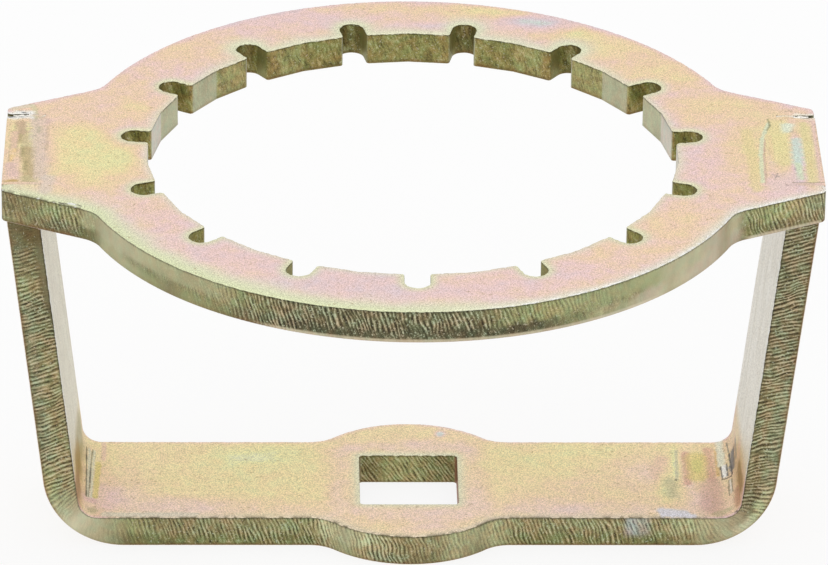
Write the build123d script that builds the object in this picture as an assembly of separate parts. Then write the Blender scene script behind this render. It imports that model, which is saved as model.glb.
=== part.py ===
from build123d import *
import math
import os

# Oil filter cap wrench. A flat ring with fifteen notches slips over the ribbed cap of an oil filter.
# A bent strap stands under it as a yoke, with a square hole for a half-inch ratchet drive.
# The part stands on the strap's flat bar. Lengths are in millimetres and angles in degrees.
# The origin is the centre of the square hole at the bar's underside. X runs from ear to ear.

# Ring plate
plate_thickness = 4.3
bore_across_flats = 67.8
notch_count = 15
flats_per_notch = 2
notch_width = 3.2
notch_depth = 3.5
rim_width = 6.3
ear_reach = 8.35
ear_flare = 25.5
ear_root_radius = 4.5
horn_width = 1.75

# Yoke strap
overall_height = 52.9
strap_thickness = 4.2
strap_width = 20.1
leg_splay = 6.0
inner_bend_radius = 2.5
outer_bend_radius = 10.5
drive_square = 12.9
drive_corner_radius = 0.5
boss_wall = 5.85
boss_root_radius = 5.0

# Tab of each leg in the slot of its ear, and the weld that holds it
tab_shoulder = 0.85
slot_side_clearance = 0.75
slot_root_clearance = 0.3
back_gap_length = 2.8
weld_leg_length = 2.4
weld_crown = 0.25

# Sizes that follow from those above
bore_flats = notch_count * flats_per_notch
bore_corner_radius = bore_across_flats / 2 / math.cos(math.pi / bore_flats)
notch_end_radius = bore_corner_radius + notch_depth
ring_radius = notch_end_radius + rim_width
half_span = ring_radius + ear_reach
plate_underside = overall_height - plate_thickness
splay_rise = math.tan(math.radians(leg_splay))
leg_thickness_along_x = strap_thickness / math.cos(math.radians(leg_splay))
tab_width = strap_width - 2 * tab_shoulder
slot_width = tab_width + 2 * slot_side_clearance
ear_end_width = slot_width + 2 * horn_width
boss_radius = drive_square / math.sqrt(2) + boss_wall
same_place = 0.001


def leg_outer_x(height):
    """Distance from the middle plane to a leg's outer face at one height."""
    return half_span - (overall_height - height) * splay_rise


def leg_inner_x(height):
    """Distance from the middle plane to a leg's inner face at one height."""
    return leg_outer_x(height) - leg_thickness_along_x


slot_root_x = leg_inner_x(plate_underside) - slot_root_clearance


def ear_outline(side):
    """Ear whose sides widen from its end towards the ring. Side is 1 for the right and -1 for the left."""
    half_end = ear_end_width / 2
    foot_x = ring_radius * math.sin(math.radians(ear_flare))
    half_foot = half_end + (half_span - foot_x) * math.tan(math.radians(ear_flare))
    corners = [
        (side * half_span, -half_end),
        (side * half_span, half_end),
        (side * foot_x, half_foot),
        (side * foot_x, -half_foot),
    ]
    return make_face(Polyline(*corners, close=True))


def on_circle(vertices, radius):
    """Those vertices of a plan view that lie on a circle about the origin."""
    return [vertex for vertex in vertices if abs(math.hypot(vertex.X, vertex.Y) - radius) < same_place]


def plate_outline():
    """Outer shape of the ring plate: a disc with two ears that run into it with small radii."""
    outline = Circle(ring_radius) + ear_outline(1) + ear_outline(-1)
    return fillet(on_circle(outline.vertices(), ring_radius), ear_root_radius)


def bore_outline():
    """Bore of flat faces, with a round-ended notch at every second corner, the first one in front."""
    bore = RegularPolygon(bore_corner_radius, bore_flats, rotation=-90)
    end_centre = notch_end_radius - notch_width / 2
    notch = Pos(end_centre / 2, 0) * Rectangle(end_centre, notch_width)
    notch += Pos(end_centre, 0) * Circle(notch_width / 2)
    for index in range(notch_count):
        bore += Rot(0, 0, -90 + index * 360 / notch_count) * notch
    return bore


def slot_outline(side, width):
    """Slot open at an ear's end."""
    length = half_span - slot_root_x
    return Pos(side * (slot_root_x + length / 2), 0) * Rectangle(length, width)


def ring_plate():
    plate_face = plate_outline() - bore_outline()
    for side in (-1, 1):
        plate_face -= slot_outline(side, slot_width)
    return extrude(Plane.XY.offset(plate_underside) * plate_face, plate_thickness)


def at_height(vertices, height):
    """Those vertices of the front view that lie at one height."""
    return [vertex for vertex in vertices if abs(vertex.Y - height) < same_place]


def strap_profile():
    """Bent strap seen from the front: a bar with two legs that lean outwards."""
    outer = [
        (leg_outer_x(overall_height), overall_height),
        (leg_outer_x(0), 0),
        (-leg_outer_x(0), 0),
        (-leg_outer_x(overall_height), overall_height),
    ]
    inner = [
        (-leg_inner_x(overall_height), overall_height),
        (-leg_inner_x(strap_thickness), strap_thickness),
        (leg_inner_x(strap_thickness), strap_thickness),
        (leg_inner_x(overall_height), overall_height),
    ]
    profile = make_face(Polyline(*outer, *inner, close=True))
    outer_corners = at_height(profile.vertices(), 0)
    profile = fillet(outer_corners, outer_bend_radius)
    inner_corners = at_height(profile.vertices(), strap_thickness)
    return fillet(inner_corners, inner_bend_radius)


def boss():
    """Round boss in the middle of the bar, running into the strap's edges with a radius."""
    past_the_roots = 2 * (boss_radius + boss_root_radius)
    outline = Rectangle(past_the_roots, strap_width) + Circle(boss_radius)
    outline = fillet(on_circle(outline.vertices(), boss_radius), boss_root_radius)
    return extrude(outline, strap_thickness)


def drive_hole():
    outline = RectangleRounded(drive_square, drive_square, drive_corner_radius)
    return extrude(outline, strap_thickness)


def yoke():
    strap = extrude(Plane.XZ * strap_profile(), strap_width / 2, both=True)
    body = strap + boss() - drive_hole()
    across_both_legs = 3 * half_span
    for edge in (-1, 1):
        middle = Pos(0, edge * strap_width / 2, plate_underside + plate_thickness / 2)
        body -= middle * Box(across_both_legs, 2 * tab_shoulder, plate_thickness)
    return body


def corner_bead(side):
    """Bead in the inner corner under an ear, slightly crowned, as long as the strap is wide."""
    corner_x = leg_inner_x(plate_underside)
    along_plate = (corner_x - weld_leg_length, plate_underside)
    down_leg = (leg_inner_x(plate_underside - weld_leg_length), plate_underside - weld_leg_length)
    middle = (
        (along_plate[0] + down_leg[0]) / 2 - weld_crown,
        (along_plate[1] + down_leg[1]) / 2 - weld_crown,
    )
    points = [(side * x, z) for x, z in (along_plate, middle, down_leg, (corner_x, plate_underside))]
    edges = [
        ThreePointArc(points[0], points[1], points[2]),
        Line(points[2], points[3]),
        Line(points[3], points[0]),
    ]
    return extrude(Plane.XZ * make_face(edges), strap_width / 2, both=True)


def slot_fill(side):
    """Metal in the slot, dressed flush with the plate. A short gap behind the tab stays open at the ear's end."""
    back_gap = Pos(side * half_span, slot_width / 2) * Rectangle(2 * back_gap_length, 2 * slot_side_clearance)
    fill_face = slot_outline(side, slot_width) - back_gap
    return extrude(Plane.XY.offset(plate_underside) * fill_face, plate_thickness)


def weld(side, strap):
    return corner_bead(side) + (slot_fill(side) - strap)


strap_part = yoke()
nodes = {
    "ring_plate": ring_plate(),
    "yoke": strap_part,
    "left_weld": weld(-1, strap_part),
    "right_weld": weld(1, strap_part),
}

os.makedirs("parts", exist_ok=True)
for name, shape in nodes.items():
    export_step(shape, f"parts/{name}.step")
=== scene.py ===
# Oil filter cap wrench, dressed as laser-cut steel with yellow-passivated zinc plating.
# Lengths are in millimetres and angles in degrees until a mesh or a camera is made.

import math

import bpy
import numpy as np
from mathutils import Matrix, Vector
from mathutils.geometry import delaunay_2d_cdt
from mathutils.kdtree import KDTree

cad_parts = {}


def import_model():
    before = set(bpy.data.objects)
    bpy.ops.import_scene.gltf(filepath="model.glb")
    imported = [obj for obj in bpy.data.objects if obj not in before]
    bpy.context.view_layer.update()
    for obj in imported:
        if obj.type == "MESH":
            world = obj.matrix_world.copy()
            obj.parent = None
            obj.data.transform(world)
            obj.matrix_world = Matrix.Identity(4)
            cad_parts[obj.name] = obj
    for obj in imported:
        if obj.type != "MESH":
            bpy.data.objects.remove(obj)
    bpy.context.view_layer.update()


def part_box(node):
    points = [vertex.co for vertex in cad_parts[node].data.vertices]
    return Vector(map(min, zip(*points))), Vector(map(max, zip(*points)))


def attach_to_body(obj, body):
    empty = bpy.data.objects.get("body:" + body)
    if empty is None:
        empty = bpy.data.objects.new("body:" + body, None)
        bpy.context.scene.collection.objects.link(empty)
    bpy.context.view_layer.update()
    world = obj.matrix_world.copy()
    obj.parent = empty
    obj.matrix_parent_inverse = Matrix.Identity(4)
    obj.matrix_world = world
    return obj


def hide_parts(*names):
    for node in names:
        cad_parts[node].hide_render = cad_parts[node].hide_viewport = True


MM = 0.001

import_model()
plate_low, plate_high = (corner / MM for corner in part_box("ring_plate"))
yoke_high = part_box("yoke")[1] / MM

# Ring plate
half_span = plate_high.x
ring_radius = plate_high.y
overall_height = plate_high.z
plate_underside = plate_low.z
plate_thickness = overall_height - plate_underside
notch_count = 15
notch_pitch = 360 / notch_count
notch_width = 3.2
notch_depth = 3.5
rim_width = 6.3
notch_end_radius = ring_radius - rim_width
bore_corner_radius = notch_end_radius - notch_depth
ear_flare = 25.5
ear_root_radius = 4.5
horn_width = 1.75

# Yoke strap
strap_thickness = 4.2
strap_half_width = 10.05
leg_splay = 6.0
inner_bend_radius = 2.5
outer_bend_radius = 10.5
drive_square = 12.9
drive_corner_radius = 0.5
boss_radius = yoke_high.y
boss_root_radius = 5.0

# Tabs, slots and welds
tab_shoulder = 0.85
tab_half_width = strap_half_width - tab_shoulder
slot_clearance = 0.75
slot_half_width = tab_half_width + slot_clearance
slot_root_clearance = 0.3
back_gap_length = 2.8
weld_leg_length = 2.4
weld_crown = 0.25

# Mesh. Real cut marks lie about 0.25 mm apart. They are drawn twice as coarse, so that they show.
cut_step = 0.132
cut_rows = 9
drip_rows = 8
drip_sides = 10
burr_rows = 16
edge_radius = 0.14
lower_edge_radius = 0.1
sharp_edge_radius = 0.005
corner_round = 0.4
ear_tip_round = 1.0
face_step = 0.64
groove_depth = 0.06
striation_pitch = 0.54
strap_striation_pitch = 0.53
plate_lean = 0.36
strap_lean = 0.32

splay_rise = math.tan(math.radians(leg_splay))
leg_thickness_along_x = strap_thickness / math.cos(math.radians(leg_splay))


def leg_outer_x(height):
    return half_span - (overall_height - height) * splay_rise


def leg_inner_x(height):
    return leg_outer_x(height) - leg_thickness_along_x


slot_root_x = leg_inner_x(plate_underside) - slot_root_clearance
half_bend_tangent = math.tan(math.radians((90 - leg_splay) / 2))


# Outlines in plan

def arc(centre, radius, start, end, step=0.08):
    """Points of an arc, both ends included. It runs backwards where end is less than start."""
    count = max(3, math.ceil(abs(math.radians(end - start)) * radius / step) + 1)
    angles = np.radians(np.linspace(start, end, count))
    return np.column_stack((centre[0] + radius * np.cos(angles), centre[1] + radius * np.sin(angles)))


def unit(vector):
    return vector / math.hypot(*vector)


def heading(vector):
    return math.degrees(math.atan2(vector[1], vector[0]))


def rounded(before, corner, after, radius):
    """Points of the small arc that rounds a corner between two straight edges."""
    before, corner, after = (np.array(point, float) for point in (before, corner, after))
    back = unit(before - corner)
    onward = unit(after - corner)
    half = math.acos(np.clip(back @ onward, -1, 1)) / 2
    centre = corner + unit(back + onward) * radius / math.sin(half)
    start = heading(corner + back * radius / math.tan(half) - centre)
    end = heading(corner + onward * radius / math.tan(half) - centre)
    turn = (end - start + 180) % 360 - 180
    return arc(centre, radius, start, start + turn)


def turned(points, angle):
    cosine, sine = math.cos(math.radians(angle)), math.sin(math.radians(angle))
    return points @ np.array(((cosine, sine), (-sine, cosine)))


def mirrored_round(quarter):
    """A whole closed line from the quarter of it that runs from the +X axis to the +Y axis."""
    half = np.vstack((quarter, quarter[::-1] * (-1, 1)))
    return np.vstack((half, half[::-1] * (1, -1)))


def root_arc(normal, reach, along, circle_radius, radius):
    """The arc that runs a straight side into a circle about the origin, from the side to the circle.

    along points down the side from the foot of the normal towards that arc."""
    normal, along = np.array(normal), np.array(along)
    out = reach + radius
    centre = normal * out + along * math.sqrt((circle_radius + radius) ** 2 - out ** 2)
    start = heading(-normal)
    end = heading(-centre)
    turn = (end - start + 180) % 360 - 180
    return arc(centre, radius, start, start + turn), heading(centre)


def plate_quarter():
    """Right ear's back half and the ring's back right quarter, from the slot's root."""
    ear_end = slot_half_width + horn_width
    flare = math.radians(ear_flare)
    along = (math.cos(flare), -math.sin(flare))
    normal = (math.sin(flare), math.cos(flare))
    reach = normal[0] * half_span + normal[1] * ear_end
    side, meets_at = root_arc(normal, reach, along, ring_radius, ear_root_radius)
    root = (slot_root_x, slot_half_width)
    mouth = (half_span, slot_half_width)
    tip = (half_span, ear_end)
    return np.vstack((
        [(slot_root_x, 0)],
        rounded((slot_root_x, 0), root, mouth, corner_round),
        rounded(root, mouth, tip, corner_round),
        rounded(mouth, tip, side[0], ear_tip_round),
        side,
        arc((0, 0), ring_radius, meets_at, 90),
    ))


def bore_period():
    """One notch with half a flat on each side, its middle on the +X axis, from right to left seen inwards."""
    half = notch_width / 2
    flat_turn = math.radians(notch_pitch / 2)
    far = np.array((math.cos(flat_turn), math.sin(flat_turn))) * bore_corner_radius
    share = half / far[1]
    mouth_x = bore_corner_radius - share * (bore_corner_radius - far[0])
    end_x = notch_end_radius - half
    return np.vstack((
        [far],
        rounded(far, (mouth_x, half), (end_x, half), corner_round),
        arc((end_x, 0), half, 90, -90),
        rounded((end_x, -half), (mouth_x, -half), far * (1, -1), corner_round),
    ))


def bore_line():
    """The bore, clockwise seen from above, beginning at the back notch's left side."""
    period = bore_period()
    turns = [90 - notch_pitch * index for index in range(notch_count)]
    return np.vstack([turned(period, turn + notch_pitch / 2) for turn in turns])


# The strap before it is bent: u runs along it from left to right and v across it.
bar_half_length = leg_outer_x(0) - outer_bend_radius * half_bend_tangent
bend_turn = math.radians(90 - leg_splay)
neutral_radius = outer_bend_radius - strap_thickness / 2
bend_length = neutral_radius * bend_turn
outer_bend_top = outer_bend_radius * (1 - math.sin(math.radians(leg_splay)))


def inner_reach(turn):
    """Distance from the outer bend's centre to the strap's inner face, turn radians on from straight down."""
    turn = np.asarray(turn, float)
    across, down = np.sin(turn), np.cos(turn)
    rise = outer_bend_radius - strap_thickness
    to_bar = rise / np.maximum(down, 1e-6)
    to_leg = (leg_inner_x(outer_bend_radius) - bar_half_length) / (across + down * splay_rise)
    bend_x = leg_inner_x(strap_thickness) - inner_bend_radius * half_bend_tangent
    centre_across = bend_x - bar_half_length
    centre_down = rise - inner_bend_radius
    beside = centre_across * across + centre_down * down
    gap = centre_across ** 2 + centre_down ** 2 - beside ** 2
    to_round = beside + np.sqrt(np.maximum(inner_bend_radius ** 2 - gap, 0))
    nearest = np.minimum(to_bar, to_leg)
    hit_across = nearest * across
    hit_down = nearest * down
    leg_tangent_down = centre_down + inner_bend_radius * math.sin(math.radians(leg_splay))
    in_round = (hit_across > centre_across) & (hit_down > leg_tangent_down)
    return np.where(in_round, np.minimum(to_round, nearest), nearest)


inner_bend_top = outer_bend_radius + inner_reach(bend_turn) * -math.cos(bend_turn)
leg_length = (overall_height - outer_bend_top) / math.cos(math.radians(leg_splay))
shoulder_length = leg_length * (plate_underside - outer_bend_top) / (overall_height - outer_bend_top)
strap_half_length = bar_half_length + bend_length + leg_length
shoulder_u = bar_half_length + bend_length + shoulder_length


def bent(points):
    """Blank points (u, v, height above the outer face) carried to their places on the bent strap."""
    u, v, height = points.T
    side = np.where(u < 0, -1.0, 1.0)
    u = np.abs(u)
    turn = np.clip((u - bar_half_length) / bend_length, 0, 1) * bend_turn
    up_leg = np.clip((u - bar_half_length - bend_length) / leg_length, 0, 1)
    foot = np.minimum(u, bar_half_length)
    outer_x = foot + outer_bend_radius * np.sin(turn)
    outer_z = outer_bend_radius * (1 - np.cos(turn))
    inner_x = foot + inner_reach(turn) * np.sin(turn)
    inner_z = outer_bend_radius - inner_reach(turn) * np.cos(turn)
    outer_top = up_leg * (overall_height - outer_bend_top)
    inner_top = up_leg * (overall_height - inner_bend_top)
    outer_x += outer_top * splay_rise
    outer_z += outer_top
    inner_x += inner_top * splay_rise
    inner_z += inner_top
    share = height / strap_thickness
    x = side * (outer_x + (inner_x - outer_x) * share)
    return np.column_stack((x, v, outer_z + (inner_z - outer_z) * share))


def strap_quarter():
    """The blank's right back quarter, from the tab's end to the middle of the boss."""
    side, meets_at = root_arc((0.0, 1.0), strap_half_width, (1.0, 0.0), boss_radius, boss_root_radius)
    tip = (strap_half_length, tab_half_width)
    shoulder = (shoulder_u, tab_half_width)
    corner = (shoulder_u, strap_half_width)
    return np.vstack((
        [(strap_half_length, 0), tip],
        rounded(tip, shoulder, corner, 0.25),
        rounded(shoulder, corner, side[0], corner_round),
        side,
        arc((0, 0), boss_radius, meets_at, 90),
    ))


def hole_line():
    half = drive_square / 2
    inset = half - drive_corner_radius
    corners = [
        arc((inset, inset), drive_corner_radius, 90, 0),
        arc((inset, -inset), drive_corner_radius, 0, -90),
        arc((-inset, -inset), drive_corner_radius, -90, -180),
        arc((-inset, inset), drive_corner_radius, 180, 90),
    ]
    return np.vstack(([(0, half)], *corners))


def evenly(points, step):
    """A closed line through the points again, at even steps, with the distance run at each."""
    closed = np.vstack((points, points[:1]))
    lengths = np.concatenate(([0], np.cumsum(np.hypot(*np.diff(closed, axis=0).T))))
    run = np.linspace(0, lengths[-1], round(lengths[-1] / step), endpoint=False)
    return np.column_stack([np.interp(run, lengths, closed[:, axis]) for axis in (0, 1)]), run


def outwards(points):
    """Directions away from the metal, which lies on the left of a closed line."""
    along = np.roll(points, -1, axis=0) - np.roll(points, 1, axis=0)
    along /= np.maximum(np.hypot(*along.T), 1e-9)[:, None]
    return np.column_stack((along[:, 1], -along[:, 0]))


# Uneven patterns

def smooth_step(value, low, high):
    share = np.clip((value - low) / (high - low), 0, 1)
    return share * share * (3 - 2 * share)


def stretch(value, begins, full, fades, ends):
    """1 along a stretch, with soft ends."""
    return smooth_step(value, begins, full) * (1 - smooth_step(value, fades, ends))


def near(away, reach):
    """1 on a line, and almost 0 at twice the reach from it."""
    return np.exp(-(away / reach) ** 2)


random_columns = 4096
random_rows = 64


def wander(place, seed):
    """Smooth random line from 0 to 1 that changes from one whole number to the next."""
    table = np.random.default_rng(seed).random(random_columns)
    cell = np.floor(place).astype(int)
    share = place - cell
    share = share * share * (3 - 2 * share)
    return table[cell % random_columns] * (1 - share) + table[(cell + 1) % random_columns] * share


def wander_over(place, other, seed):
    """The same over a surface."""
    table = np.random.default_rng(seed).random((random_columns, random_rows))
    cell, row = np.floor(place).astype(int), np.floor(other).astype(int)
    share, rise = place - cell, other - row
    share = share * share * (3 - 2 * share)
    rise = rise * rise * (3 - 2 * rise)
    here, onward = cell % random_columns, (cell + 1) % random_columns
    below, above = row % random_rows, (row + 1) % random_rows
    low = table[here, below] * (1 - share) + table[onward, below] * share
    high = table[here, above] * (1 - share) + table[onward, above] * share
    return low * (1 - rise) + high * rise


# Colours

def colour(text):
    """Linear colour of an sRGB hex one."""
    parts = [int(text[i:i + 2], 16) / 255 for i in (1, 3, 5)]
    return [p / 12.92 if p <= 0.04045 else ((p + 0.055) / 1.055) ** 2.4 for p in parts] + [1]


def linear(text):
    return np.array(colour(text)[:3])


stone = "#C9C4A2"
clay = "#CFC3AB"
cream = "#DDDABC"
tan = "#BEB091"
pale_olive = "#CFD0AE"
drab = "#BFBC96"
celery = "#B6B98C"
sage = "#AAAA7C"
umber = "#A8A07C"
olive = "#9A9D74"
lichen = "#8E8D71"
khaki = "#98906B"
fern = "#85855A"
bark = "#8A8261"
deep_olive = "#757156"
peat = "#5F5C46"
cocoa = "#7C6D48"
moss = "#7E775A"
tin = "#B6B5B8"
lip_shade = "#DCD1B8"
seam_shade = "#7C7250"
gold = "#9A9660"
pale_gold = "#B5B07E"
rust = "#A98350"
notch_gold = "#AAA668"
notch_brown = "#8D8656"
# Painted reflection on the bore's walls where they face sideways.
bore_reflection_grey = "#CECEB0"
bore_reflection_silver = "#E6E0D8"


# A comb that ends this deep, past the foot of any wall, runs all the way down.
past_the_foot = 9


class Edge:
    """One closed cut edge of a slab, with what is known at each of its points.

    The jet leaves marks that lag behind it, so each mark starts at its own point on the entry side
    and ends further along on the other side. The columns of the wall's mesh follow the marks.
    Each uneven pattern adds a number of its own to the edge's seed."""

    def __init__(self, points, seed, lean, step=cut_step):
        self.points, self.run = evenly(points, step)
        self.length = self.run[-1] + self.run[1]
        self.out = outwards(self.points)
        self.seed = seed
        self.lean = lean
        size = len(self.run)
        self.roughness = np.ones(size)
        self.comb = np.ones(size)
        self.comb_start = np.zeros(size)
        self.comb_end = np.full(size, past_the_foot)
        self.wash = np.tile(linear(olive), (size, 1))
        self.low_wash = self.wash.copy()
        self.bevel = np.full(size, edge_radius)
        self.low_bevel = np.full(size, edge_radius)
        self.pitch = striation_pitch
        self.lip = np.zeros(size)
        self.seam = np.zeros(size)
        self.ground = np.zeros(size, bool)
        self.hidden = np.zeros(size, bool)

    def paint(self, shade, share):
        """Mixes a colour into the wall's, by a share for each point."""
        share = np.asarray(share)[:, None]
        self.wash += (linear(shade) - self.wash) * share
        self.low_wash += (linear(shade) - self.low_wash) * share

    def lay(self, stations):
        """Sets the wall from what it is like at stations, told from the left end along the front.

        The back is its mirror image."""
        along = np.abs(self.run - self.length / 2)
        along = along + 1.2 * (wander(self.run / 1.7, self.seed + 9) - 0.5)
        places, upper, lower, *others = zip(*stations)

        def between(values):
            return np.interp(along, places, values)

        self.wash = np.column_stack([between(part) for part in zip(*map(linear, upper))])
        self.low_wash = np.column_stack([between(part) for part in zip(*map(linear, lower))])
        self.comb, self.comb_start, self.comb_end, self.roughness = map(between, others)

    def at(self, values, run):
        """Values of the edge's points, read at other distances along it."""
        if values.ndim == 1:
            return np.interp(run, self.run, values, period=self.length)
        return np.column_stack([np.interp(run, self.run, column, period=self.length) for column in values.T])

    def slack(self):
        """Share of the lag at each point: none on ground stretches, and all of it a few millimetres off."""
        still = self.run[self.roughness < 0.05]
        if not len(still):
            return 1
        apart = np.abs(self.run[:, None] - still[None, :])
        nearest = np.minimum(apart, self.length - apart).min(axis=1)
        return smooth_step(nearest, 0.2, 4)

    def marked_run(self, depth):
        """Where each mark has got to at one depth."""
        bow = wander_over(self.run / 2.4, depth / 1.5, self.seed)
        bow += 0.4 * wander_over(self.run / 0.7, depth / 0.8, self.seed + 3)
        return self.run + (self.lean * depth + (bow - 0.7) * 0.42) * self.slack()

    def ridges(self, depth):
        """Height of the wall along each mark, from 0 in the grooves to 1 on the ridges."""
        place = self.run / self.pitch + 1.0 * wander(self.run / 2.6, self.seed + 7)
        place += 0.5 * wander_over(self.run / 1.2, depth / 1.6, self.seed + 8)
        swing = np.cos(2 * math.pi * place)
        comb = 0.5 + 0.5 * np.sign(swing) * np.abs(swing) ** 1.4
        held = smooth_step(wander_over(self.run / 0.7, depth / 1.0, self.seed + 2), 0.1, 0.6)
        split = wander_over(self.run / 0.25, depth / 0.5, self.seed + 1)
        comb = 0.5 + (comb - 0.5) * (0.35 + 0.65 * held) + 0.5 * (split - 0.5)
        speckle = wander_over(self.run / 0.24, depth / 0.28, self.seed + 4)
        speckle = 0.65 * speckle + 0.35 * wander_over(self.run / 0.9, depth / 1.2, self.seed + 5)
        fray = 0.5 * (wander(self.run / 0.4, self.seed + 10) - 0.5)
        start, end = self.comb_start, self.comb_end
        combed = self.comb * stretch(depth + fray, start - 0.4, start + 0.3, end - 0.5, end + 0.4)
        return np.clip(comb * combed + speckle * (1 - combed), 0, 1)

    def wash_at(self, run, depth):
        """The wall's colour, which passes from its upper to its lower one a little past half way down."""
        share = smooth_step(depth + 0.6 * (wander(self.run / 0.9, self.seed + 12) - 0.5), 2.1, 2.9)[:, None]
        upper, lower = self.at(self.wash, run), self.at(self.low_wash, run)
        return upper + (lower - upper) * share

    def rough_at(self, run, depth):
        bare = smooth_step(depth, self.comb_start - 0.4, self.comb_start + 0.3)
        rough = self.at(self.roughness, run) * np.where(self.comb_start > 0, 0.35 + 0.65 * bare, 1)
        return rough + (1 - rough) * self.seam_at(run, depth)

    def seam_at(self, run, depth):
        """Share of the grainy line part way down, which wavers and breaks up."""
        line = 2.5 + 0.5 * (wander(self.run / 1.9, self.seed + 13) - 0.5)
        broken = 0.4 + 0.6 * wander(self.run / 0.5, self.seed + 14)
        return self.at(self.seam, run) * broken * np.exp(-((depth - line) / 0.4) ** 2)


def inside(points, loops):
    """True where a point lies in the metal between closed lines, by counting crossings."""
    crossings = np.zeros(len(points), int)
    x, y = points.T
    for loop in loops:
        ends = np.roll(loop, -1, axis=0)
        for (ax, ay), (bx, by) in zip(loop, ends):
            if ay == by:
                continue
            across = (ay > y) != (by > y)
            crossings += across & (x < ax + (y - ay) / (by - ay) * (bx - ax))
    return crossings % 2 == 1


def nearest_edge(points, loops):
    """Distance from each point to the nearest point of the edges."""
    line = np.vstack(loops)
    tree = KDTree(len(line))
    for index, (x, y) in enumerate(line):
        tree.insert((x, y, 0), index)
    tree.balance()
    return np.array([tree.find((x, y, 0))[2] for x, y in points])


face_slot, cut_slot = 0, 1
rim_rows = 2
rim_clearance = 0.45


class Slab:
    """Flat metal between cut edges, as mesh parts: two faces and a wall along every edge."""

    def __init__(self, edges, thickness, upper_points, lower_points):
        self.thickness = thickness
        self.vertices = []
        self.cut = []
        self.wash = []
        self.faces = []
        self.slots = []
        self.smooth = []
        self.count = 0
        rims = [self.wall(edge) for edge in edges]
        self.face([low for low, high in rims], lower_points, 0)
        self.face([high for low, high in rims], upper_points, thickness)
        self.points = np.vstack(self.vertices)
        self.cut = np.vstack(self.cut)
        self.wash = np.vstack(self.wash)

    def add(self, points, cut, wash):
        start = self.count
        self.vertices.append(points)
        self.cut.append(cut)
        self.wash.append(wash)
        self.count += len(points)
        return start

    def add_flat(self, places, height):
        """Points of a face, which has no cut marks."""
        size = len(places)
        points = np.column_stack((places, np.full(size, height)))
        return self.add(points, np.zeros((size, 3)), np.zeros((size, 4)))

    def levels(self):
        """What each row of a wall has below it, in bevels and as a share of the straight part between
        them, with its inset and its share of the relief."""
        quarter = np.radians((0, 35, 65, 90))
        rim = [(1 - math.cos(a), 1 - math.sin(a), 0.3 + 0.7 * math.sin(a)) for a in quarter]
        low = [(rise, 0, inset, hold) for rise, inset, hold in rim]
        between = [(1, row / cut_rows, 0, 1) for row in (0.5, *range(1, cut_rows))]
        high = [(2 - rise, 1, inset, hold) for rise, inset, hold in rim[::-1]]
        return low + between + high

    def wall(self, edge):
        """Rows of points up a cut edge. Returns the lowest and the highest row."""
        size = len(edge.run)
        starts = []
        for bevels, share, inset, hold in self.levels():
            level = edge_radius * bevels + (self.thickness - 2 * edge_radius) * share
            run = edge.marked_run(self.thickness - level)
            upper, lower = edge.at(edge.bevel, run), edge.at(edge.low_bevel, run)
            bevel = np.where(share > 0.5, upper, lower)
            height = lower * min(bevels, 1) + upper * max(bevels - 1, 0)
            height += (self.thickness - lower - upper) * share
            depth = self.thickness - height
            ridge = edge.ridges(depth)
            roughness = edge.rough_at(run, depth)
            sunk = groove_depth * roughness * (1 - ridge) * hold
            place = edge.at(edge.points, run) - edge.at(edge.out, run) * (inset * bevel + sunk)[:, None]
            # The third part, the ridge, also sets the cut skin's painted shade in the grooves and painted
            # highlights on the crests.
            cut = np.column_stack((edge.run, depth, ridge * roughness))
            shade = edge.wash_at(run, depth)
            lip = edge.at(edge.lip, run) * smooth_step(depth, self.thickness - 0.5, self.thickness - 0.34)
            shade += (linear(seam_shade) - shade) * 0.55 * edge.seam_at(run, depth)[:, None]
            shade += (linear(lip_shade) - shade) * lip[:, None]
            wash = np.column_stack((shade, roughness * (1 - 0.8 * lip)))
            starts.append(self.add(np.column_stack((place, height)), cut, wash))
        along = np.arange(size)
        following = (along + 1) % size
        last = len(starts) - 2
        for row, (low, high) in enumerate(zip(starts, starts[1:])):
            quads = np.column_stack((low + along, low + following, high + following, high + along))
            self.faces.extend(quads.tolist())
            skinned = edge.ground | (row < rim_rows) | (row > last - rim_rows)
            self.slots.extend(np.where(skinned, face_slot, cut_slot).tolist())
            self.smooth.extend((~edge.hidden).tolist())
        return starts[0] + along, starts[-1] + along

    def face(self, rims, points, height):
        """Triangles between the rims, through the inner points that lie clear of them."""
        so_far = np.vstack(self.vertices)
        plans = [so_far[rim][:, :2] for rim in rims]
        inner = points[nearest_edge(points[:, :2], plans) > points[:, 2] * rim_clearance, :2]
        inner = inner[inside(inner, plans)]
        start = self.add_flat(inner, height)
        names = np.concatenate([*rims, np.arange(start, start + len(inner))])
        lines = []
        offset = 0
        for plan in plans:
            size = len(plan)
            lines.extend((offset + i, offset + (i + 1) % size) for i in range(size))
            offset += size
        flat = np.vstack([*plans, inner])
        made = delaunay_2d_cdt([Vector(point) for point in flat], lines, [], 0, 1e-7)
        corners = np.array([list(point) for point in made[0]])
        triangles = np.array(made[2])
        kept = triangles[inside(corners[triangles].mean(axis=1), plans)]
        named = np.array([names[origin[0]] if origin else -1 for origin in made[3]])
        for index in np.flatnonzero(named < 0):
            named[index] = self.add_flat(corners[index:index + 1], height)
        kept = named[kept]
        if height == 0:
            kept = kept[:, ::-1]
        self.faces.extend(kept.tolist())
        self.slots.extend([face_slot] * len(kept))
        self.smooth.extend([True] * len(kept))

    def give(self, piece):
        attach(piece, "cut", self.cut)
        attach(piece, "wash", self.wash)


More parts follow.
